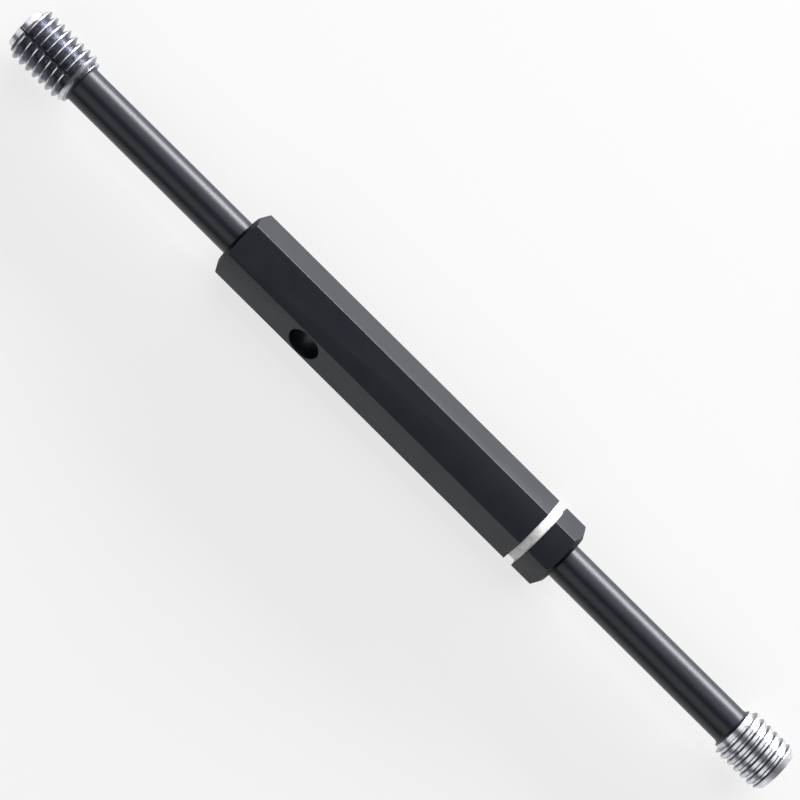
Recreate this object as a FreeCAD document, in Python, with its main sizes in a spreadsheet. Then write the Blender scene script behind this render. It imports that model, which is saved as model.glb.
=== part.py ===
import FreeCAD, Part
import math
import os

import Sketcher
from FreeCAD import Placement, Rotation, Vector

# A double-ended limit gauge for an M10 x 1.5 internal thread. A hexagonal handle holds a GO member
# at its -X end and a NO-GO member at its +X end, each by a 1 in 50 taper. The gauge lies on one flat
# of the handle: X runs along it, Z is up, and the origin is under the middle of its whole length.

os.makedirs("parts", exist_ok=True)
doc = FreeCAD.newDocument("thread_plug_gauge")

# ------------------------------------------------------------ driving sizes, in mm and degrees

SIZES = (
    # the handle, a hexagon bar
    ("handle_length", 75.7),
    ("handle_flats", 11.6),
    ("handle_edge_radius", 0.2),
    ("end_face_diameter", 9.9),
    ("end_chamfer_angle", 30),
    # the drift hole, square to one flat, through which the GO member is knocked out
    ("drift_hole_diameter", 6.1),
    ("drift_hole_from_end", 20.0),
    ("drift_hole_edge_break", 0.08),
    ("drift_hole_break_in", 0.5),
    # the turned groove near the NO-GO end, and the white band that fills it
    ("band_from_end", 5.4),
    ("band_width", 1.75),
    ("band_below_flats", 0.15),
    ("band_thickness", 0.2),
    # the taper that holds each member
    ("taper_ratio", 50),
    ("taper_clearance", 0.01),
    ("tail_end_gap", 0.25),
    ("socket_end_gap", 0.8),
    ("drill_point_angle", 118),
    # the thread form that both members share
    ("thread_pitch", 1.5),
    ("thread_angle", 60),
    # the shanks and the centre holes that the members are ground on
    ("shank_diameter", 6.8),
    ("flare_length", 0.7),
    ("centre_hole_diameter", 2.5),
    ("centre_hole_angle", 60),
    # the GO member
    ("go_shank_length", 37.0),
    ("go_plug_length", 13.2),
    ("go_thread_diameter", 10.0),
    ("go_pitch_diameter", 9.026),
    ("go_thread_bearing", 41),
    ("go_flare_diameter", 7.5),
    ("go_pilot_diameter", 7.7),
    ("go_pilot_length", 1.05),
    ("go_tip_break", 0.15),
    ("go_back_chamfer_length", 1.3),
    ("go_back_chamfer_angle", 30),
    ("chip_groove_depth", 1.7),
    ("chip_groove_angle", 28),
    ("chip_groove_bearing", 78.5),
    # the NO-GO member
    ("no_go_shank_length", 39.9),
    ("no_go_plug_length", 10.3),
    ("no_go_thread_diameter", 9.5),
    ("no_go_pitch_diameter", 9.21),
    ("no_go_root_flat", 0.34),
    ("no_go_thread_bearing", -53),
    ("no_go_neck_diameter", 8.0),
    ("no_go_neck_length", 0.9),
    ("no_go_lead_length", 1.25),
    ("no_go_lead_angle", 37),
)

sheet = doc.addObject("Spreadsheet::Sheet", "Sizes")
for row, (alias, value) in enumerate(SIZES, start=1):
    sheet.set(f"A{row}", alias)
    sheet.set(f"B{row}", str(value))
    sheet.setAlias(f"B{row}", alias)
doc.recompute()

# ------------------------------------------------------------ expressions that pieces share

AXIS_HEIGHT = "Sizes.handle_flats / 2"
HALF_LENGTH = "Sizes.handle_length / 2"
CORNER_RADIUS = "Sizes.handle_flats / sqrt(3)"
SHANK_RADIUS = "Sizes.shank_diameter / 2"
# how far a cutting outline runs past the surface that it cuts
PAST = "1"
# the tails stop just short of the drift hole, where a drift can bear on the end of the GO tail
TAIL_LENGTH = "(Sizes.drift_hole_from_end - Sizes.drift_hole_diameter / 2 - Sizes.tail_end_gap)"
GO_TIP = "(Sizes.go_shank_length + Sizes.go_plug_length)"
NO_GO_TIP = "(Sizes.no_go_shank_length + Sizes.no_go_plug_length)"
# the handle moves off the origin when one member sticks out further than the other
HANDLE_SHIFT = f"({GO_TIP} - {NO_GO_TIP}) / 2"

# ------------------------------------------------------------ helpers


def value(expression):
    """What an expression comes to now, in millimetres or degrees."""
    return float(sheet.evalExpression(expression))


def new_body(label, x, turn=0):
    """An empty body on the gauge's axis, at x along it and turned about the vertical."""
    body = doc.addObject("PartDesign::Body", label)
    body.Label = label
    body.Placement = Placement(Vector(), Rotation(Vector(0, 0, 1), turn))
    body.setExpression(".Placement.Base.x", x)
    body.setExpression(".Placement.Base.z", AXIS_HEIGHT)
    return body


def new_sketch(body, label, plane, slide=("0", "0", "0"), tilt_axis=None, tilt="0"):
    """A sketch on one of the body's origin planes, slid along the plane's own x, y and normal
    and tilted about one of its own axes."""
    sketch = body.newObject("Sketcher::SketchObject", label)
    support = [item for item in body.Origin.OriginFeatures if item.Role == plane]
    sketch.AttachmentSupport = [(support[0], "")]
    sketch.MapMode = "FlatFace"
    if tilt_axis is not None:
        sketch.AttachmentOffset = Placement(Vector(), Rotation(tilt_axis, 1))
        sketch.setExpression(".AttachmentOffset.Rotation.Angle", tilt)
    for name, distance in zip("xyz", slide):
        if distance != "0":
            sketch.setExpression(f".AttachmentOffset.Base.{name}", distance)
    return sketch


def draw_loop(sketch, corners, splines=()):
    """A closed outline whose corners are pairs of expressions that stay bound to the sheet.
    splines numbers the edges that are straight splines and not lines: the face that such an
    edge sweeps out is meshed in far fewer facets than a cone."""
    points = [Vector(value(x), value(y), 0) for x, y in corners]
    first = sketch.GeometryCount
    for number, (start, end) in enumerate(zip(points, points[1:] + points[:1])):
        if number in splines:
            edge = Part.BSplineCurve()
            edge.buildFromPolesMultsKnots([start, end], [2, 2], [0, 1], False, 1)
        else:
            edge = Part.LineSegment(start, end)
        sketch.addGeometry(edge)
    for number, (x, y) in enumerate(corners):
        edge = first + number
        after = first + (number + 1) % len(corners)
        sketch.addConstraint(Sketcher.Constraint("Coincident", edge, 2, after, 1))
        fix_start(sketch, edge, "DistanceX", x)
        fix_start(sketch, edge, "DistanceY", y)


def fix_start(sketch, edge, kind, expression):
    """Hold one coordinate of an edge's start at an expression, or on the sketch's own axis."""
    if expression == "0":
        own_axis = -2 if kind == "DistanceX" else -1
        sketch.addConstraint(Sketcher.Constraint("PointOnObject", edge, 1, own_axis))
    else:
        distance = Sketcher.Constraint(kind, -1, 1, edge, 1, value(expression))
        sketch.setExpression(f"Constraints[{sketch.addConstraint(distance)}]", expression)


def turn_about(body, kind, label, sketch, axis="H_Axis"):
    """Revolve a sketch about one of its own axes, as a solid or as a cut."""
    feature = body.newObject(f"PartDesign::{kind}", label)
    feature.Profile = sketch
    feature.ReferenceAxis = (sketch, [axis])
    feature.Angle = 360
    sketch.Visibility = False
    return feature


def tan_of(angle):
    """The tangent of a cell that holds an angle in degrees."""
    return f"tan(Sizes.{angle} * 1 deg)"


# ------------------------------------------------------------ handle

handle = new_body("handle", HANDLE_SHIFT)

# the bar, with a flat underneath and a flat on top
section = new_sketch(handle, "bar_section", "YZ_Plane")
half_flats = "Sizes.handle_flats / 2"
half_side = f"{CORNER_RADIUS} / 2"
draw_loop(section, (
    (f"{CORNER_RADIUS}", "0"),
    (half_side, half_flats),
    (f"-{half_side}", half_flats),
    (f"-{CORNER_RADIUS}", "0"),
    (f"-{half_side}", f"-{half_flats}"),
    (half_side, f"-{half_flats}"),
))
bar = handle.newObject("PartDesign::Pad", "bar")
bar.Profile = section
bar.Midplane = True
bar.setExpression("Length", "Sizes.handle_length")
doc.recompute()

# the drawn bar's long edges are hardly broken
long_edges = [
    f"Edge{number}"
    for number, edge in enumerate(bar.Shape.Edges, start=1)
    if abs(edge.tangentAt(edge.FirstParameter).x) > 0.99
]
edges = handle.newObject("PartDesign::Fillet", "long_edges")
edges.Base = (bar, long_edges)
edges.setExpression("Radius", "Sizes.handle_edge_radius")

# each end is chamfered in the lathe, which leaves a round face
ends = new_sketch(handle, "end_chamfer_outline", "XZ_Plane")
face_radius = "Sizes.end_face_diameter / 2"
beyond_corners = f"{CORNER_RADIUS} + {PAST}"
chamfer_reach = f"({beyond_corners} - {face_radius}) * {tan_of('end_chamfer_angle')}"
for sign in ("", "-"):
    draw_loop(ends, (
        (f"{sign}{HALF_LENGTH}", face_radius),
        (f"{sign}{HALF_LENGTH}", beyond_corners),
        (f"{sign}({HALF_LENGTH} - {chamfer_reach})", beyond_corners),
    ))
turn_about(handle, "Groove", "end_chamfers", ends)

# the groove that the white band fills
band_end = f"{HALF_LENGTH} - Sizes.band_from_end"
band_start = f"{band_end} - Sizes.band_width"
band_radius = f"({half_flats} - Sizes.band_below_flats)"
band_inside = f"{band_radius} - Sizes.band_thickness"
groove = new_sketch(handle, "band_groove_outline", "XZ_Plane")
draw_loop(groove, (
    (band_start, band_inside),
    (band_end, band_inside),
    (band_end, beyond_corners),
    (band_start, beyond_corners),
))
turn_about(handle, "Groove", "band_groove", groove)


def socket_radius(depth):
    """The taper socket's radius at a depth from the handle's end."""
    return f"{SHANK_RADIUS} + Sizes.taper_clearance - ({depth}) / Sizes.taper_ratio / 2"


# the GO socket breaks into the drift hole
go_depth = (
    "Sizes.drift_hole_from_end - Sizes.drift_hole_diameter / 2 + Sizes.drift_hole_break_in"
)
go_socket = new_sketch(handle, "go_socket_outline", "XZ_Plane")
draw_loop(go_socket, (
    (f"-{HALF_LENGTH}", "0"),
    (f"-{HALF_LENGTH}", socket_radius("0")),
    (f"-({HALF_LENGTH} - ({go_depth}))", socket_radius(go_depth)),
    (f"-({HALF_LENGTH} - ({go_depth}))", "0"),
))
turn_about(handle, "Groove", "go_socket", go_socket)

# the NO-GO socket is blind, with the drill's point left at its bottom
no_go_depth = f"{TAIL_LENGTH} + Sizes.socket_end_gap"
drill_point = f"({socket_radius(no_go_depth)}) / tan(Sizes.drill_point_angle / 2 * 1 deg)"
no_go_socket = new_sketch(handle, "no_go_socket_outline", "XZ_Plane")
draw_loop(no_go_socket, (
    (HALF_LENGTH, "0"),
    (HALF_LENGTH, socket_radius("0")),
    (f"{HALF_LENGTH} - ({no_go_depth})", socket_radius(no_go_depth)),
    (f"{HALF_LENGTH} - ({no_go_depth}) - {drill_point}", "0"),
), splines=(1,))
turn_about(handle, "Groove", "no_go_socket", no_go_socket)

# the drift hole is square to the flat on the near side, and both its mouths are broken
hole_place = f"Sizes.drift_hole_from_end - {HALF_LENGTH}"
hole = new_sketch(
    handle, "drift_hole_outline", "XZ_Plane",
    slide=(hole_place, "0", "0"), tilt_axis=Vector(1, 0, 0), tilt="60",
)
hole_radius = "Sizes.drift_hole_diameter / 2"
hole_mouth = f"{hole_radius} + Sizes.drift_hole_edge_break + {PAST}"
straight = f"({half_flats} - Sizes.drift_hole_edge_break)"
draw_loop(hole, (
    ("0", f"-({half_flats} + {PAST})"),
    (hole_mouth, f"-({half_flats} + {PAST})"),
    (hole_radius, f"-{straight}"),
    (hole_radius, straight),
    (hole_mouth, f"{half_flats} + {PAST}"),
    ("0", f"{half_flats} + {PAST}"),
))
turn_about(handle, "Groove", "drift_hole", hole, axis="V_Axis")

# ------------------------------------------------------------ white band

marker_ring = new_body("marker_ring", HANDLE_SHIFT)
band = new_sketch(marker_ring, "band_outline", "XZ_Plane")
draw_loop(band, (
    (band_start, band_inside),
    (band_end, band_inside),
    (band_end, band_radius),
    (band_start, band_radius),
))
turn_about(marker_ring, "Revolution", "band", band)

# ------------------------------------------------------------ what both members are made with
# Each member lies along x in its own body, with the handle's end face at x = 0 and its tip out
# at +x. The GO body is turned round, so that its tip points to the gauge's -X end.



def centre_hole(end, inwards):
    """The outline of a centre hole, from its mouth to its point on the axis. inwards is the
    sign of x that leads into the metal."""
    depth = "Sizes.centre_hole_diameter / 2 / tan(Sizes.centre_hole_angle / 2 * 1 deg)"
    return (
        (end, "Sizes.centre_hole_diameter / 2"),
        (f"{end} {inwards} {depth}", "0"),
    )


def turn_member(body, shank_length, flare_top, plug, tip):
    """Turn one member from bar: taper tail, shank, flare up to the plug, then the plug's own
    outline, with a centre hole in each end."""
    tail_radius = f"{SHANK_RADIUS} - {TAIL_LENGTH} / Sizes.taper_ratio / 2"
    tail = tuple(reversed(centre_hole(f"-{TAIL_LENGTH}", "+"))) + (
        (f"-{TAIL_LENGTH}", tail_radius),
        ("0", SHANK_RADIUS),
    )
    shank = (
        (f"{shank_length} - Sizes.flare_length", SHANK_RADIUS),
        (shank_length, flare_top),
    )
    corners = tail + shank + plug + centre_hole(tip, "-")
    outline = new_sketch(body, f"{body.Label}_outline", "XY_Plane")
    tail_cone, flare = len(tail) - 2, len(tail)
    draw_loop(outline, corners, splines=(tail_cone, flare))
    turn_about(body, "Revolution", f"{body.Label}_blank", outline)


def cut_thread(body, start, length, bearing, major, pitch_diameter, root_flat=None):
    """Cut the right-hand thread from start as one helical groove, whose flanks are half a pitch
    apart at the pitch diameter. They meet in a sharp root, or end at a root flat."""
    outside = f"(Sizes.{major} / 2 + Sizes.thread_pitch / 20)"
    tan_flank = "tan(Sizes.thread_angle / 2 * 1 deg)"
    sharp_root = f"(Sizes.{pitch_diameter} / 2 - Sizes.thread_pitch / 4 / {tan_flank})"
    half_mouth = f"({outside} - {sharp_root}) * {tan_flank}"
    if root_flat is None:
        root = (("0", sharp_root),)
    else:
        root_radius = f"{sharp_root} + {root_flat} / 2 / {tan_flank}"
        root = ((f"-{root_flat} / 2", root_radius), (f"{root_flat} / 2", root_radius))
    tool = new_sketch(
        body, f"{body.Label}_thread_outline", "XY_Plane",
        slide=(start, "0", "0"), tilt_axis=Vector(1, 0, 0), tilt=f"Sizes.{bearing}",
    )
    draw_loop(tool, root + (
        (half_mouth, outside),
        (f"-{half_mouth}", outside),
    ))
    thread = body.newObject("PartDesign::SubtractiveHelix", f"{body.Label}_thread")
    thread.Profile = tool
    thread.ReferenceAxis = (tool, ["H_Axis"])
    thread.Mode = "pitch-height-angle"
    thread.setExpression("Pitch", "Sizes.thread_pitch")
    thread.setExpression("Height", length)


# ------------------------------------------------------------ GO member

go_gauge = new_body("go_gauge", f"{HANDLE_SHIFT} - {HALF_LENGTH}", turn=180)

go_radius = "Sizes.go_thread_diameter / 2"
pilot_radius = "Sizes.go_pilot_diameter / 2"
back_drop = f"Sizes.go_back_chamfer_length * {tan_of('go_back_chamfer_angle')}"
turn_member(
    go_gauge, "Sizes.go_shank_length", "Sizes.go_flare_diameter / 2", (
        ("Sizes.go_shank_length", f"{go_radius} - {back_drop}"),
        ("Sizes.go_shank_length + Sizes.go_back_chamfer_length", go_radius),
        (f"{GO_TIP} - Sizes.go_pilot_length", go_radius),
        (f"{GO_TIP} - Sizes.go_pilot_length", pilot_radius),
        (f"{GO_TIP} - Sizes.go_tip_break", pilot_radius),
        (GO_TIP, f"{pilot_radius} - Sizes.go_tip_break"),
    ), GO_TIP,
)

# a vee along the thread and the pilot takes up the dirt that the thread scrapes out
chips = new_sketch(
    go_gauge, "chip_groove_outline", "YZ_Plane",
    slide=("0", "0", GO_TIP), tilt_axis=Vector(0, 0, 1), tilt="Sizes.chip_groove_bearing",
)
chip_bottom = f"({go_radius} - Sizes.chip_groove_depth)"
chip_top = f"({go_radius} + {PAST})"
chip_half = f"({chip_top} - {chip_bottom}) * tan(Sizes.chip_groove_angle / 2 * 1 deg)"
draw_loop(chips, (
    (chip_bottom, "0"),
    (chip_top, chip_half),
    (chip_top, f"-{chip_half}"),
))
chip_groove = go_gauge.newObject("PartDesign::Pocket", "chip_groove")
chip_groove.Profile = chips
chip_groove.setExpression("Length", "Sizes.go_plug_length - Sizes.go_back_chamfer_length")

cut_thread(
    go_gauge, "Sizes.go_shank_length - Sizes.thread_pitch",
    "Sizes.go_plug_length + 2 * Sizes.thread_pitch", "go_thread_bearing",
    "go_thread_diameter", "go_pitch_diameter",
)

# ------------------------------------------------------------ NO-GO member

no_go_gauge = new_body("no_go_gauge", f"{HANDLE_SHIFT} + {HALF_LENGTH}")

no_go_radius = "Sizes.no_go_thread_diameter / 2"
neck_radius = "Sizes.no_go_neck_diameter / 2"
neck_end = "Sizes.no_go_shank_length + Sizes.no_go_neck_length"
lead_drop = f"Sizes.no_go_lead_length * {tan_of('no_go_lead_angle')}"
turn_member(
    no_go_gauge, "Sizes.no_go_shank_length", neck_radius, (
        (neck_end, neck_radius),
        (neck_end, no_go_radius),
        (f"{NO_GO_TIP} - Sizes.no_go_lead_length", no_go_radius),
        (NO_GO_TIP, f"{no_go_radius} - {lead_drop}"),
    ), NO_GO_TIP,
)
cut_thread(
    no_go_gauge, "Sizes.no_go_shank_length + Sizes.no_go_neck_length / 2",
    "Sizes.no_go_plug_length + Sizes.thread_pitch", "no_go_thread_bearing",
    "no_go_thread_diameter", "no_go_pitch_diameter", root_flat="Sizes.no_go_root_flat",
)

# ------------------------------------------------------------ check and write

doc.recompute()
for item in doc.Objects:
    if "Invalid" in item.State or "Error" in item.State:
        raise RuntimeError(f"{item.Label} did not recompute: {item.State}")
for piece in (handle, marker_ring, go_gauge, no_go_gauge):
    if piece.Shape.isNull() or not piece.Shape.isValid():
        raise RuntimeError(f"{piece.Label} has no valid shape")
    piece.Shape.exportStep(f"parts/{piece.Label}.step")
    print(piece.Label, len(piece.Shape.Solids), round(piece.Shape.Volume, 2), piece.Shape.BoundBox)
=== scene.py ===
import math

import bpy
from mathutils import Matrix, Vector


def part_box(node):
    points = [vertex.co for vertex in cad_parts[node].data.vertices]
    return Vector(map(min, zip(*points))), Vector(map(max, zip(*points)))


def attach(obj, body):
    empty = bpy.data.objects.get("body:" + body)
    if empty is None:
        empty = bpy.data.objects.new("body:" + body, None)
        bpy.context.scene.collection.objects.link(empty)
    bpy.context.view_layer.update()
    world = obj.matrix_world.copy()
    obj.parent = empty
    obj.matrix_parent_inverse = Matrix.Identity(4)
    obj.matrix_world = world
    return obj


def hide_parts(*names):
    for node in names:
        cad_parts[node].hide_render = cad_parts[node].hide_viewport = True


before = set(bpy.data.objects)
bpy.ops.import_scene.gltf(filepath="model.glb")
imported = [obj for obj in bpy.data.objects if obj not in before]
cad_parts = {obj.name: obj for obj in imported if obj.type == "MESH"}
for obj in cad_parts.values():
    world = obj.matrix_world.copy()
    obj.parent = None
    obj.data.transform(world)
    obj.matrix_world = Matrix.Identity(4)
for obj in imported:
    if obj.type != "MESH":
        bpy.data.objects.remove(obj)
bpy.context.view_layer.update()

# The gauge lies on one flat of its handle. X runs along it towards the NO-GO end, and every turned
# surface goes round one line, at half the height of the handle. Each piece is modelled with one
# unit to the millimetre, as its drawing would be, and is brought down to metres when it is done.
MM = 0.001
handle_low, handle_high = (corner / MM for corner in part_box("handle"))
AXIS_HEIGHT = (handle_low.z + handle_high.z) / 2
HALF_LENGTH = handle_high.x

# ------------------------------------------------------------ hexagonal handle
# A length of drawn hexagon bar in aluminium alloy, cross drilled near the GO end for the drift that
# frees the GO member, blasted fine, chamfered at both ends in the lathe and anodised black. Its long
# edges are left almost sharp, and catch more light than the flats.

ACROSS_FLATS = handle_high.z - handle_low.z
LONG_EDGE_BREAK = 0.12
END_FACE_RADIUS = 4.95
END_CHAMFER_ANGLE = 30
DRIFT_HOLE_RADIUS = 3.05
DRIFT_HOLE_FROM_END = 20.0
DRIFT_HOLE_EDGE_BREAK = 0.08
SHANK_RADIUS = 3.4
TAPER = 1 / 50
SOCKET_CLEARANCE = 0.01
TAIL_END_GAP = 0.25
SOCKET_END_GAP = 0.8
TAIL_LENGTH = DRIFT_HOLE_FROM_END - DRIFT_HOLE_RADIUS - TAIL_END_GAP
DRILL_POINT_ANGLE = 118
EDGE_BREAK = 0.03
# how far a cutting tool runs past the surface that it cuts
PAST = 1.0
ROUND_STEPS = 192
HOLE_STEPS = 96
SMOOTH_ANGLE = math.radians(35)


def deselect():
    """Leave object mode with nothing selected, so that an operator acts on the new piece alone."""
    if bpy.context.object and bpy.context.object.mode != "OBJECT":
        bpy.ops.object.mode_set(mode="OBJECT")
    bpy.ops.object.select_all(action="DESELECT")


def choose(piece):
    """Make one piece the only selected object, and the active one."""
    deselect()
    piece.select_set(True)
    bpy.context.view_layer.objects.active = piece


def draw(name, outline):
    """A wire drawn point by point on the gauge's axis plane, from (x, radius) pairs. It starts as
    one vertex at the first pair, and each further pair is an extrusion."""
    deselect()
    x, radius = outline[0]
    bpy.ops.mesh.primitive_plane_add(size=1, location=(x, 0, AXIS_HEIGHT + radius))
    wire = bpy.context.object
    wire.name = name
    bpy.ops.object.mode_set(mode="EDIT")
    bpy.ops.mesh.select_mode(type="VERT")
    bpy.ops.mesh.merge(type="CENTER")
    for (x0, r0), (x1, r1) in zip(outline, outline[1:]):
        step = (x1 - x0, 0, r1 - r0)
        bpy.ops.mesh.extrude_region_move(TRANSFORM_OT_translate={"value": step})
    return wire


def turn(name, outline, steps=ROUND_STEPS):
    """A turned solid: an outline that starts and ends on the axis, or closes on itself, spun
    once round the gauge's axis."""
    piece = draw(name, outline)
    bpy.ops.mesh.select_all(action="SELECT")
    bpy.ops.mesh.spin(
        steps=steps, angle=2 * math.pi, center=(0, 0, AXIS_HEIGHT), axis=(1, 0, 0)
    )
    close_skin(piece)
    return piece


def close_skin(piece):
    """Merge doubles, turn the faces outwards and put the piece's origin at the world's."""
    choose(piece)
    bpy.ops.object.mode_set(mode="EDIT")
    bpy.ops.mesh.select_all(action="SELECT")
    bpy.ops.mesh.remove_doubles(threshold=0.0005)
    bpy.ops.mesh.normals_make_consistent(inside=False)
    bpy.ops.object.mode_set(mode="OBJECT")
    bpy.ops.object.transform_apply(location=True, rotation=True, scale=True)


def cut(piece, tool, operation="DIFFERENCE"):
    """Cut a piece with a tool, or keep only what lies inside the tool, and throw the tool away."""
    choose(piece)
    modifier = piece.modifiers.new("cut", "BOOLEAN")
    modifier.operation = operation
    modifier.solver = "MANIFOLD"
    modifier.object = tool
    bpy.ops.object.modifier_apply(modifier=modifier.name)
    bpy.data.objects.remove(tool)


def bring_to_metres(piece):
    """Bring a finished piece from millimetres to metres, with its origin at the world's."""
    choose(piece)
    piece.scale = (MM, MM, MM)
    bpy.ops.object.transform_apply(location=True, rotation=True, scale=True)


def break_edges(piece, width, sharper_than, smooth_up_to):
    """Take the sharpness off the edges that turn by more than one angle, and shade smooth only
    what turns by less than the other, so that the flats stay flat."""
    choose(piece)
    bpy.ops.object.mode_set(mode="EDIT")
    bpy.ops.mesh.select_all(action="SELECT")
    bpy.ops.mesh.dissolve_limited(angle_limit=math.radians(0.5))
    bpy.ops.object.mode_set(mode="OBJECT")
    modifier = piece.modifiers.new("break", "BEVEL")
    modifier.width = width
    modifier.segments = 2
    modifier.limit_method = "ANGLE"
    modifier.angle_limit = sharper_than
    modifier.use_clamp_overlap = True
    bpy.ops.object.modifier_apply(modifier=modifier.name)
    bpy.ops.object.shade_smooth_by_angle(angle=smooth_up_to)


# the bar, sawn a little too long, with a flat underneath and a flat on top
corner_radius = ACROSS_FLATS / math.sqrt(3)
deselect()
bpy.ops.mesh.primitive_cylinder_add(
    vertices=6, radius=corner_radius, depth=2 * (HALF_LENGTH + PAST),
    location=(0, 0, AXIS_HEIGHT), rotation=(0, math.radians(90), 0),
)
handle = bpy.context.object
handle.name = "hexagonal_handle"
bpy.ops.object.transform_apply(location=True, rotation=True, scale=True)
bpy.ops.object.mode_set(mode="EDIT")
bpy.ops.mesh.select_mode(type="EDGE")
bpy.ops.mesh.select_all(action="DESELECT")
bpy.ops.object.mode_set(mode="OBJECT")
for edge in handle.data.edges:
    ends = [handle.data.vertices[number].co for number in edge.vertices]
    edge.select = abs(ends[0].x - ends[1].x) > HALF_LENGTH
bpy.ops.object.mode_set(mode="EDIT")
bpy.ops.mesh.bevel(offset=LONG_EDGE_BREAK, segments=4)

# the lathe's work on the bar: both end chamfers and the groove for the band
BAND_FROM_END = 5.4
BAND_WIDTH = 1.75
BAND_BELOW_FLATS = 0.15
BAND_RADIUS = ACROSS_FLATS / 2 - BAND_BELOW_FLATS
BAND_THICKNESS = 0.2
band_end = HALF_LENGTH - BAND_FROM_END
band_start = band_end - BAND_WIDTH
groove_radius = BAND_RADIUS - BAND_THICKNESS
outside = corner_radius + PAST
chamfer_reach = (outside - END_FACE_RADIUS) * math.tan(math.radians(END_CHAMFER_ANGLE))
lathe_work = turn("lathe_work", (
    (-HALF_LENGTH, 0),
    (-HALF_LENGTH, END_FACE_RADIUS),
    (chamfer_reach - HALF_LENGTH, outside),
    (band_start, outside),
    (band_start, groove_radius),
    (band_end, groove_radius),
    (band_end, outside),
    (HALF_LENGTH - chamfer_reach, outside),
    (HALF_LENGTH, END_FACE_RADIUS),
    (HALF_LENGTH, 0),
))
cut(handle, lathe_work, "INTERSECT")

# the taper sockets that hold the members, and the drift hole across the GO one
socket_depth = TAIL_LENGTH + SOCKET_END_GAP
socket_bottom = SHANK_RADIUS + SOCKET_CLEARANCE - socket_depth * TAPER / 2
point_depth = socket_bottom / math.tan(math.radians(DRILL_POINT_ANGLE / 2))
for end in (-1, 1):
    socket = turn("socket", (
        (end * (HALF_LENGTH + PAST), 0),
        (end * (HALF_LENGTH + PAST), SHANK_RADIUS + SOCKET_CLEARANCE + PAST * TAPER / 2),
        (end * (HALF_LENGTH - socket_depth), socket_bottom),
        (end * (HALF_LENGTH - socket_depth - point_depth), 0),
    ))
    cut(handle, socket)

hole_reach = ACROSS_FLATS / 2 + PAST
hole_mouth = DRIFT_HOLE_RADIUS + DRIFT_HOLE_EDGE_BREAK + PAST
straight = ACROSS_FLATS / 2 - DRIFT_HOLE_EDGE_BREAK
drift_drill = turn("drift_drill", (
    (-hole_reach, 0),
    (-hole_reach, hole_mouth),
    (-straight, DRIFT_HOLE_RADIUS),
    (straight, DRIFT_HOLE_RADIUS),
    (hole_reach, hole_mouth),
    (hole_reach, 0),
), steps=HOLE_STEPS)
bpy.ops.object.mode_set(mode="EDIT")
bpy.ops.mesh.select_all(action="SELECT")
centre = (0, 0, AXIS_HEIGHT)
bpy.ops.transform.rotate(value=math.radians(90), orient_axis="Z", center_override=centre)
bpy.ops.transform.rotate(value=math.radians(30), orient_axis="X", center_override=centre)
bpy.ops.transform.translate(value=(DRIFT_HOLE_FROM_END - HALF_LENGTH, 0, 0))
bpy.ops.object.mode_set(mode="OBJECT")
cut(handle, drift_drill)
break_edges(handle, EDGE_BREAK, math.radians(50), math.radians(12))
bring_to_metres(handle)


def linear(code, alpha=1.0):
    """A colour written as an sRGB hex code, as the linear values that a shader takes."""
    parts = [int(code[place:place + 2], 16) / 255 for place in (1, 3, 5)]
    return [
        part / 12.92 if part <= 0.04045 else ((part + 0.055) / 1.055) ** 2.4 for part in parts
    ] + [alpha]


def node(tree, kind, inputs=None, **settings):
    """Add a node with its settings. inputs gives each socket a value, or another node's output."""
    new = tree.nodes.new(kind)
    for name, value in settings.items():
        setattr(new, name, value)
    for name, value in (inputs or {}).items():
        if isinstance(value, bpy.types.NodeSocket):
            tree.links.new(value, new.inputs[name])
        else:
            new.inputs[name].default_value = value
    return new


def new_material(name):
    """An empty material, its node tree and its output node."""
    material = bpy.data.materials.new(name)
    material.use_nodes = True
    material.node_tree.nodes.clear()
    output = material.node_tree.nodes.new("ShaderNodeOutputMaterial")
    return material, material.node_tree, output


# Black anodised aluminium, fine blasted: a dead black with a blue cast, a low even sheen, and a
# grain just fine enough to break up the reflections.
BLAST_GRAIN = 0.16
black_anodised, tree, output = new_material("black_anodised_aluminium")
place = node(tree, "ShaderNodeTexCoord").outputs["Object"]
grain = node(tree, "ShaderNodeTexNoise", {
    "Vector": place, "Scale": 1 / (BLAST_GRAIN * MM), "Detail": 3.0, "Roughness": 0.6,
})
cloud = node(tree, "ShaderNodeTexNoise", {"Vector": place, "Scale": 1 / (6 * MM), "Detail": 2.0})
tone = node(tree, "ShaderNodeValToRGB", {"Fac": grain.outputs["Fac"]})
tone.color_ramp.elements[0].position = 0.35
tone.color_ramp.elements[0].color = linear("#040a14")
tone.color_ramp.elements[1].position = 0.75
tone.color_ramp.elements[1].color = linear("#0c1626")
sheen = node(tree, "ShaderNodeMapRange", {
    "Value": cloud.outputs["Fac"], "From Min": 0.3, "From Max": 0.7, "To Min": 0.40, "To Max": 0.46,
})
bump = node(tree, "ShaderNodeBump", {
    "Height": grain.outputs["Fac"], "Strength": 0.25, "Distance": 0.02 * MM,
})
shader = node(tree, "ShaderNodeBsdfPrincipled", {
    "Base Color": tone.outputs["Color"], "Roughness": sheen.outputs["Result"],
    "Normal": bump.outputs["Normal"], "IOR": 1.5,
})
tree.links.new(shader.outputs["BSDF"], output.inputs["Surface"])
handle.data.materials.clear()
handle.data.materials.append(black_anodised)

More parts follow.
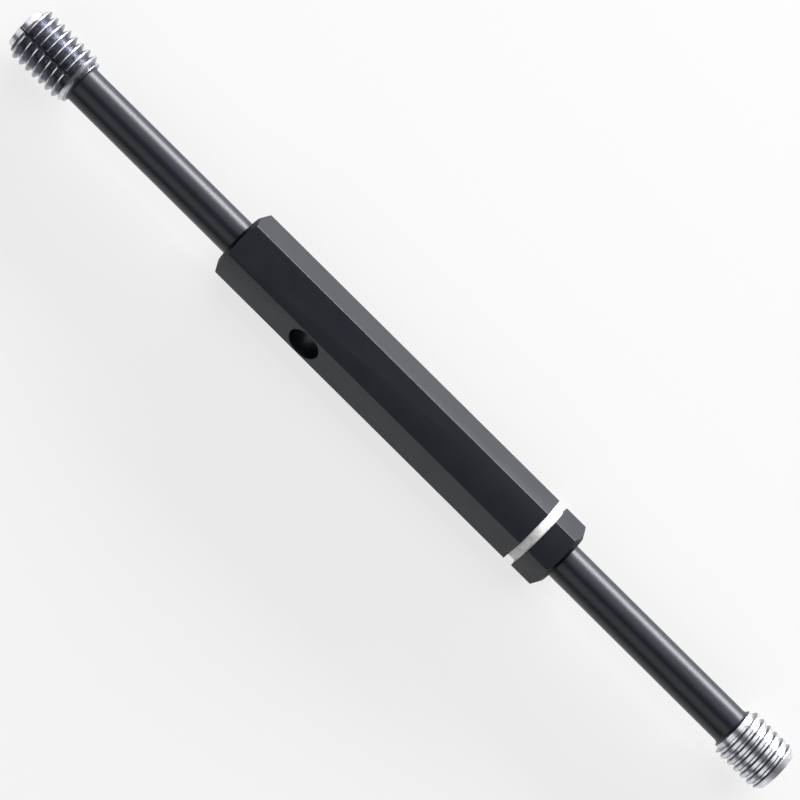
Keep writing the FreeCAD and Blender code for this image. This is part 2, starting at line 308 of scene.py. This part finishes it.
# The chamfers and end faces take a darker copy of the same black anodising, with almost no
# reflection: painted shade for the dark that these faces reflect from along the gauge.
TOOL_MARK = 0.1
black_painted_shade, tree, output = new_material("black_anodised_painted_shade_ends")
place = node(tree, "ShaderNodeTexCoord").outputs["Object"]
marks = node(tree, "ShaderNodeTexNoise", {
    "Vector": place, "Scale": 1 / (TOOL_MARK * MM), "Detail": 2.0,
})
tone = node(tree, "ShaderNodeValToRGB", {"Fac": marks.outputs["Fac"]})
tone.color_ramp.elements[0].color = linear("#020407")
tone.color_ramp.elements[1].color = linear("#070b12")
shader = node(tree, "ShaderNodeBsdfPrincipled", {
    "Base Color": tone.outputs["Color"], "Roughness": 0.35, "Specular IOR Level": 0.05,
})
tree.links.new(shader.outputs["BSDF"], output.inputs["Surface"])
handle.data.materials.append(black_painted_shade)
END_ZONE = 1.5
# faces at the ends that face along the gauge get the darker copy: painted shade
for face in handle.data.polygons:
    near_end = abs(face.center.x) / MM > HALF_LENGTH - END_ZONE
    if near_end and abs(face.normal.x) > 0.3:
        face.material_index = 1
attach(handle, "root")
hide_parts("handle")

# ------------------------------------------------------------ white band
# Enamel run into a turned groove and wiped level, a little below the flats. White marks nothing but
# the NO-GO end, and it dries slightly uneven, with a darker line where it meets each wall.

ENAMEL_SINK = 0.02
ENAMEL_EDGE = 0.12
marker_ring = turn("white_marker_ring", (
    (band_start, groove_radius),
    (band_end, groove_radius),
    (band_end, BAND_RADIUS - ENAMEL_SINK),
    (band_end - ENAMEL_EDGE, BAND_RADIUS),
    (band_start + ENAMEL_EDGE, BAND_RADIUS),
    (band_start, BAND_RADIUS - ENAMEL_SINK),
    (band_start, groove_radius),
))
choose(marker_ring)
bpy.ops.object.shade_smooth_by_angle(angle=SMOOTH_ANGLE)
bring_to_metres(marker_ring)

# Air-dried enamel: nearly flat white, with faint grey clouds where the metal shows through.
white_enamel, tree, output = new_material("white_enamel")
place = node(tree, "ShaderNodeTexCoord").outputs["Object"]
cloud = node(tree, "ShaderNodeTexNoise", {"Vector": place, "Scale": 1 / (0.9 * MM), "Detail": 4.0})
tone = node(tree, "ShaderNodeValToRGB", {"Fac": cloud.outputs["Fac"]})
tone.color_ramp.elements[0].position = 0.3
tone.color_ramp.elements[0].color = linear("#d2d4d6")
tone.color_ramp.elements[1].position = 0.6
tone.color_ramp.elements[1].color = linear("#f4f4f2")
bump = node(tree, "ShaderNodeBump", {
    "Height": cloud.outputs["Fac"], "Strength": 0.3, "Distance": 0.02 * MM,
})
shader = node(tree, "ShaderNodeBsdfPrincipled", {
    "Base Color": tone.outputs["Color"], "Roughness": 0.45, "Normal": bump.outputs["Normal"],
})
tree.links.new(shader.outputs["BSDF"], output.inputs["Surface"])
marker_ring.data.materials.append(white_enamel)
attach(marker_ring, "root")
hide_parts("marker_ring")

# ------------------------------------------------------------ what both members share
# Each member is one bar of tool steel, turned and then ground between centres: a 1 in 50 taper
# tail inside the handle, a slender shank, a hollow flare and the threaded plug. The shank is
# blacked, and the plug is ground after blacking, so it is bright.

CENTRE_HOLE_RADIUS = 1.25
CENTRE_HOLE_ANGLE = 60
CENTRE_HOLE_DEPTH = CENTRE_HOLE_RADIUS / math.tan(math.radians(CENTRE_HOLE_ANGLE / 2))
FLARE_RADIUS = 0.8
PITCH = 1.5
THREAD_ANGLE = 60
TAN_FLANK = math.tan(math.radians(THREAD_ANGLE / 2))
THREAD_STEPS = 120


def member(name, end, shank_length, flare_top, plug, tip):
    """Turn a member's blank. end is -1 or 1, for the end of the gauge that it points to, and the
    outline's distances are measured outwards from the handle's end face."""
    tail = (
        (CENTRE_HOLE_DEPTH - TAIL_LENGTH, 0),
        (-TAIL_LENGTH, CENTRE_HOLE_RADIUS),
        (-TAIL_LENGTH, SHANK_RADIUS - TAIL_LENGTH * TAPER / 2),
        (0, SHANK_RADIUS),
    )
    sweep = math.acos(1 - (flare_top - SHANK_RADIUS) / FLARE_RADIUS)
    flare = tuple(
        (
            shank_length - FLARE_RADIUS * (math.sin(sweep) - math.sin(sweep * share)),
            SHANK_RADIUS + FLARE_RADIUS * (1 - math.cos(sweep * share)),
        )
        for share in (0, 1 / 6, 1 / 3, 1 / 2, 2 / 3, 5 / 6, 1)
    )
    centre_hole = ((tip, CENTRE_HOLE_RADIUS), (tip - CENTRE_HOLE_DEPTH, 0))
    outline = tail + flare + plug + centre_hole
    return turn(name, tuple((end * (HALF_LENGTH + out), radius) for out, radius in outline))


def cut_thread(piece, x, bearing, turns, profile):
    """Cut a right-hand helical groove. profile is the groove's closed section, as (along, radius)
    pairs about its middle. x and bearing, from +Y, place its first section, and it winds to +X."""
    cutter = draw("thread_cutter", tuple((along, radius) for along, radius in profile))
    bpy.ops.mesh.select_all(action="SELECT")
    bpy.ops.mesh.remove_doubles(threshold=0.0005)
    bpy.ops.object.mode_set(mode="OBJECT")
    bpy.context.scene.cursor.location = (0, 0, AXIS_HEIGHT)
    bpy.ops.object.origin_set(type="ORIGIN_CURSOR")
    screw = cutter.modifiers.new("wind", "SCREW")
    screw.axis = "X"
    screw.angle = 2 * math.pi
    screw.screw_offset = PITCH
    screw.iterations = turns
    screw.steps = THREAD_STEPS
    screw.render_steps = THREAD_STEPS
    bpy.ops.object.modifier_apply(modifier=screw.name)
    bpy.ops.object.mode_set(mode="EDIT")
    bpy.ops.mesh.select_all(action="SELECT")
    bpy.ops.mesh.remove_doubles(threshold=0.0005)
    bpy.ops.mesh.fill_holes(sides=8)
    bpy.ops.mesh.normals_make_consistent(inside=False)
    bpy.ops.object.mode_set(mode="OBJECT")
    cutter.location.x = x
    cutter.rotation_euler.x = math.radians(bearing - 90)
    bpy.ops.object.transform_apply(location=True, rotation=True, scale=True)
    cut(piece, cutter)


# Black oxide on ground steel: thin, smooth and blue black, with a soft streak of light along the
# shank that the grinding marks round it spread a little.
GRIND_MARK = 0.05
black_oxide, tree, output = new_material("black_oxide_steel")
place = node(tree, "ShaderNodeTexCoord").outputs["Object"]
marks = node(tree, "ShaderNodeMapping", {
    "Vector": place, "Scale": (1 / (GRIND_MARK * MM), 40, 40),
})
lines = node(tree, "ShaderNodeTexNoise", {
    "Vector": marks.outputs["Vector"], "Scale": 1.0, "Detail": 3.0,
})
cloud = node(tree, "ShaderNodeTexNoise", {"Vector": place, "Scale": 1 / (2.5 * MM), "Detail": 3.0})
tone = node(tree, "ShaderNodeValToRGB", {"Fac": cloud.outputs["Fac"]})
tone.color_ramp.elements[0].position = 0.3
tone.color_ramp.elements[0].color = linear("#0a111c")
tone.color_ramp.elements[1].position = 0.75
tone.color_ramp.elements[1].color = linear("#121a2a")
bump = node(tree, "ShaderNodeBump", {
    "Height": lines.outputs["Fac"], "Strength": 0.12, "Distance": 0.004 * MM,
})
shader = node(tree, "ShaderNodeBsdfPrincipled", {
    "Base Color": tone.outputs["Color"], "Roughness": 0.38, "Normal": bump.outputs["Normal"],
    "IOR": 1.5,
})
tree.links.new(shader.outputs["BSDF"], output.inputs["Surface"])

# Ground gauge steel: bright and cool, with fine marks that run round the plug, and faint stains.
ground_steel, tree, output = new_material("ground_gauge_steel")
place = node(tree, "ShaderNodeTexCoord").outputs["Object"]
marks = node(tree, "ShaderNodeMapping", {
    "Vector": place, "Scale": (1 / (GRIND_MARK * MM), 60, 60),
})
lines = node(tree, "ShaderNodeTexNoise", {
    "Vector": marks.outputs["Vector"], "Scale": 1.0, "Detail": 4.0,
})
cloud = node(tree, "ShaderNodeTexNoise", {"Vector": place, "Scale": 1 / (0.8 * MM), "Detail": 3.0})
tone = node(tree, "ShaderNodeValToRGB", {"Fac": cloud.outputs["Fac"]})
tone.color_ramp.elements[0].position = 0.3
tone.color_ramp.elements[0].color = linear("#c9cad0")
tone.color_ramp.elements[1].position = 0.7
tone.color_ramp.elements[1].color = linear("#e4e5e8")
sheen = node(tree, "ShaderNodeMapRange", {
    "Value": lines.outputs["Fac"], "From Min": 0.3, "From Max": 0.7, "To Min": 0.26, "To Max": 0.36,
})
bump = node(tree, "ShaderNodeBump", {
    "Height": lines.outputs["Fac"], "Strength": 0.15, "Distance": 0.003 * MM,
})
shader = node(tree, "ShaderNodeBsdfPrincipled", {
    "Base Color": tone.outputs["Color"], "Metallic": 1.0, "Roughness": sheen.outputs["Result"],
    "Normal": bump.outputs["Normal"],
})
tree.links.new(shader.outputs["BSDF"], output.inputs["Surface"])

# Thread flanks: a darker copy of the same steel, painted shade for the dark that the flanks reflect.
FLANK_STEEPNESS = 0.75
SHORT_OF_PLUG = 0.01
painted_shade_flanks, tree, output = new_material("steel_thread_flanks_painted_shade")
place = node(tree, "ShaderNodeTexCoord").outputs["Object"]
film = node(tree, "ShaderNodeTexNoise", {"Vector": place, "Scale": 1 / (0.5 * MM), "Detail": 3.0})
tone = node(tree, "ShaderNodeValToRGB", {"Fac": film.outputs["Fac"]})
tone.color_ramp.elements[0].position = 0.3
tone.color_ramp.elements[0].color = linear("#787a84")
tone.color_ramp.elements[1].position = 0.7
tone.color_ramp.elements[1].color = linear("#aeb0b8")
shader = node(tree, "ShaderNodeBsdfPrincipled", {
    "Base Color": tone.outputs["Color"], "Metallic": 1.0, "Roughness": 0.3,
})
tree.links.new(shader.outputs["BSDF"], output.inputs["Surface"])


def finish_member(piece, node_name, shank_length):
    """Black the shank, leave the plug bright, and give its flanks, its steepest faces, painted
    shade.
    """
    choose(piece)
    bpy.ops.object.shade_smooth_by_angle(angle=SMOOTH_ANGLE)
    bring_to_metres(piece)
    piece.data.materials.clear()
    piece.data.materials.append(ground_steel)
    piece.data.materials.append(black_oxide)
    piece.data.materials.append(painted_shade_flanks)
    for face in piece.data.polygons:
        out = abs(face.center.x) / MM - HALF_LENGTH
        if out < shank_length - SHORT_OF_PLUG:
            face.material_index = 1
        # the flanks take the darker steel: painted shade
        elif abs(face.normal.x) > FLANK_STEEPNESS:
            face.material_index = 2
    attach(piece, "root")
    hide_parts(node_name)


# ------------------------------------------------------------ GO member
# The long plug, with a full-form thread that has to pass right through the work: a plain pilot at
# the tip, a vee along thread and pilot that takes up dirt, and a 30 degree chamfer at the back.

GO_SHANK = 37.0
GO_PLUG = 13.2
GO_RADIUS = 5.0
GO_PITCH_RADIUS = 4.513
GO_BEARING = 139
GO_FLARE_TOP = 3.75
PILOT_RADIUS = 3.85
PILOT_LENGTH = 1.05
TIP_BREAK = 0.15
BACK_CHAMFER = 1.3
BACK_CHAMFER_ANGLE = 30
CHIP_DEPTH = 1.7
CHIP_ANGLE = 28
CHIP_BEARING = 101.5

go_tip = GO_SHANK + GO_PLUG
back_radius = GO_RADIUS - BACK_CHAMFER * math.tan(math.radians(BACK_CHAMFER_ANGLE))
go_member = member("go_member", -1, GO_SHANK, GO_FLARE_TOP, (
    (GO_SHANK, back_radius),
    (GO_SHANK + BACK_CHAMFER, GO_RADIUS),
    (go_tip - PILOT_LENGTH, GO_RADIUS),
    (go_tip - PILOT_LENGTH, PILOT_RADIUS),
    (go_tip - TIP_BREAK, PILOT_RADIUS),
    (go_tip, PILOT_RADIUS - TIP_BREAK),
), go_tip)

# the chip groove, a vee cut from the tip to the back chamfer
chip_bottom = GO_RADIUS - CHIP_DEPTH
chip_top = GO_RADIUS + PAST
chip_half = (chip_top - chip_bottom) * math.tan(math.radians(CHIP_ANGLE / 2))
chip_start = -(HALF_LENGTH + go_tip + PAST)
chip_length = GO_PLUG - BACK_CHAMFER + PAST
chip_tool = draw("chip_tool", ((chip_start, chip_bottom), (chip_start, chip_top)))
bpy.ops.mesh.select_all(action="DESELECT")
bpy.ops.object.mode_set(mode="OBJECT")
chip_tool.data.vertices[1].select = True
bpy.ops.object.mode_set(mode="EDIT")
bpy.ops.transform.translate(value=(0, chip_half, 0))
bpy.ops.mesh.extrude_region_move(TRANSFORM_OT_translate={"value": (0, -2 * chip_half, 0)})
bpy.ops.mesh.select_all(action="SELECT")
bpy.ops.mesh.edge_face_add()
bpy.ops.mesh.extrude_region_move(TRANSFORM_OT_translate={"value": (chip_length, 0, 0)})
bpy.ops.mesh.select_all(action="SELECT")
bpy.ops.transform.rotate(
    value=math.radians(90 - CHIP_BEARING), orient_axis="X", center_override=(0, 0, AXIS_HEIGHT)
)
close_skin(chip_tool)
cut(go_member, chip_tool)

go_outside = GO_RADIUS + PITCH / 20
go_root = GO_PITCH_RADIUS - PITCH / 4 / TAN_FLANK
go_half_mouth = (go_outside - go_root) * TAN_FLANK
go_turns = math.ceil(GO_PLUG / PITCH) + 2
cut_thread(go_member, -(HALF_LENGTH + GO_SHANK - PITCH) - go_turns * PITCH, GO_BEARING, go_turns, (
    (0, go_root), (go_half_mouth, go_outside), (-go_half_mouth, go_outside), (0, go_root),
))
finish_member(go_member, "go_gauge", GO_SHANK)

# ------------------------------------------------------------ NO-GO member
# The short plug, which may only start in the work: a plain neck, a thread with truncated crests and
# a flat root, and a steep lead chamfer at the tip.

NO_GO_SHANK = 39.9
NO_GO_PLUG = 10.3
NO_GO_RADIUS = 4.75
NO_GO_PITCH_RADIUS = 4.605
NO_GO_ROOT_FLAT = 0.34
NO_GO_BEARING = -53
NECK_RADIUS = 4.0
NECK_LENGTH = 0.9
LEAD_LENGTH = 1.25
LEAD_ANGLE = 37

no_go_tip = NO_GO_SHANK + NO_GO_PLUG
lead_drop = LEAD_LENGTH * math.tan(math.radians(LEAD_ANGLE))
no_go_member = member("no_go_member", 1, NO_GO_SHANK, NECK_RADIUS, (
    (NO_GO_SHANK + NECK_LENGTH, NECK_RADIUS),
    (NO_GO_SHANK + NECK_LENGTH, NO_GO_RADIUS),
    (no_go_tip - LEAD_LENGTH, NO_GO_RADIUS),
    (no_go_tip, NO_GO_RADIUS - lead_drop),
), no_go_tip)

no_go_outside = NO_GO_RADIUS + PITCH / 20
no_go_sharp_root = NO_GO_PITCH_RADIUS - PITCH / 4 / TAN_FLANK
no_go_half_mouth = (no_go_outside - no_go_sharp_root) * TAN_FLANK
no_go_root = no_go_sharp_root + NO_GO_ROOT_FLAT / 2 / TAN_FLANK
no_go_turns = math.ceil(NO_GO_PLUG / PITCH) + 1
cut_thread(
    no_go_member, HALF_LENGTH + NO_GO_SHANK + NECK_LENGTH / 2, NO_GO_BEARING, no_go_turns, (
        (-NO_GO_ROOT_FLAT / 2, no_go_root),
        (NO_GO_ROOT_FLAT / 2, no_go_root),
        (no_go_half_mouth, no_go_outside),
        (-no_go_half_mouth, no_go_outside),
        (-NO_GO_ROOT_FLAT / 2, no_go_root),
    ),
)
finish_member(no_go_member, "no_go_gauge", NO_GO_SHANK)

# ------------------------------------------------------------ studio
# A pale floor under the gauge. A long soft box stands low on the far side, two weaker ones hang
# above, and the gap between them, where the camera looks through, stays dark.

deselect()
bpy.ops.mesh.primitive_plane_add(size=8.0, location=(0, 0, 0))
floor = bpy.context.object
floor.name = "studio_floor"
WHITE_SHARE = 0.7
pale_floor, tree, output = new_material("pale_floor")
matt = node(tree, "ShaderNodeBsdfDiffuse", {"Color": linear("#f8f8f8")})
white = node(tree, "ShaderNodeEmission", {"Color": (1, 1, 1, 1), "Strength": 1.0})
rays = node(tree, "ShaderNodeLightPath")
seen = node(tree, "ShaderNodeMath", {
    0: rays.outputs["Is Camera Ray"], 1: rays.outputs["Is Glossy Ray"],
}, operation="ADD")
seen_any = node(tree, "ShaderNodeMath", {
    0: seen.outputs[0], 1: rays.outputs["Is Transmission Ray"],
}, operation="ADD")
share = node(tree, "ShaderNodeMath", {
    0: seen_any.outputs[0], 1: WHITE_SHARE,
}, operation="MULTIPLY")
mixed = node(tree, "ShaderNodeMixShader", {
    0: share.outputs[0], 1: matt.outputs[0], 2: white.outputs[0],
})
tree.links.new(mixed.outputs[0], output.inputs["Surface"])
floor.data.materials.append(pale_floor)


def soft_box(name, angle, distance, width, length, radiance):
    """A long area lamp parallel to the gauge. angle is measured round the gauge from straight
    above it, towards +Y, and width is across the lamp's length."""
    turned = math.radians(angle)
    lamp = bpy.data.lights.new(name, "AREA")
    lamp.shape = "RECTANGLE"
    lamp.size = length
    lamp.size_y = width
    lamp.energy = radiance * math.pi * width * length
    box = bpy.data.objects.new(name, lamp)
    box.location = (0, distance * math.sin(turned), distance * math.cos(turned))
    box.rotation_euler = (-turned, 0, 0)
    bpy.context.scene.collection.objects.link(box)


soft_box("key_soft_box", 80, 0.8, 0.26, 1.0, 24.0)
soft_box("top_soft_box", 32, 0.8, 0.44, 1.0, 1.3)
soft_box("fill_soft_box", -40, 0.8, 0.6, 1.0, 1.1)

world = bpy.data.worlds.new("dim_room")
world.use_nodes = True
world.node_tree.nodes["Background"].inputs["Color"].default_value = linear("#ffffff")
world.node_tree.nodes["Background"].inputs["Strength"].default_value = 0.06
bpy.context.scene.world = world
bpy.context.scene.view_settings.view_transform = "Standard"

# The camera looks almost straight down on the flat that is uppermost, a few degrees from the side
# of the drift hole, and is rolled so that the gauge lies from corner to corner.
CAMERA_DISTANCE = 0.541
CAMERA_TILT = math.radians(3.5)
CAMERA_ROLL = math.radians(44.75)
CAMERA_SHIFT = 0.125 * MM
camera_data = bpy.data.cameras.new("camera")
camera_data.sensor_width = 36
camera_data.lens = 146.25
camera_data.clip_end = 50
camera = bpy.data.objects.new("camera", camera_data)
bpy.context.scene.collection.objects.link(camera)
back = Vector((0, -math.sin(CAMERA_TILT), math.cos(CAMERA_TILT)))
across = Vector((0, math.cos(CAMERA_TILT), math.sin(CAMERA_TILT)))
right = Vector((1, 0, 0)) * math.cos(CAMERA_ROLL) + across * math.sin(CAMERA_ROLL)
up = across * math.cos(CAMERA_ROLL) - Vector((1, 0, 0)) * math.sin(CAMERA_ROLL)
place = Vector((0, 0, AXIS_HEIGHT * MM)) + back * CAMERA_DISTANCE - across * CAMERA_SHIFT
camera.matrix_world = Matrix((
    (right.x, up.x, back.x, place.x),
    (right.y, up.y, back.y, place.y),
    (right.z, up.z, back.z, place.z),
    (0, 0, 0, 1),
))
bpy.context.scene.camera = camera
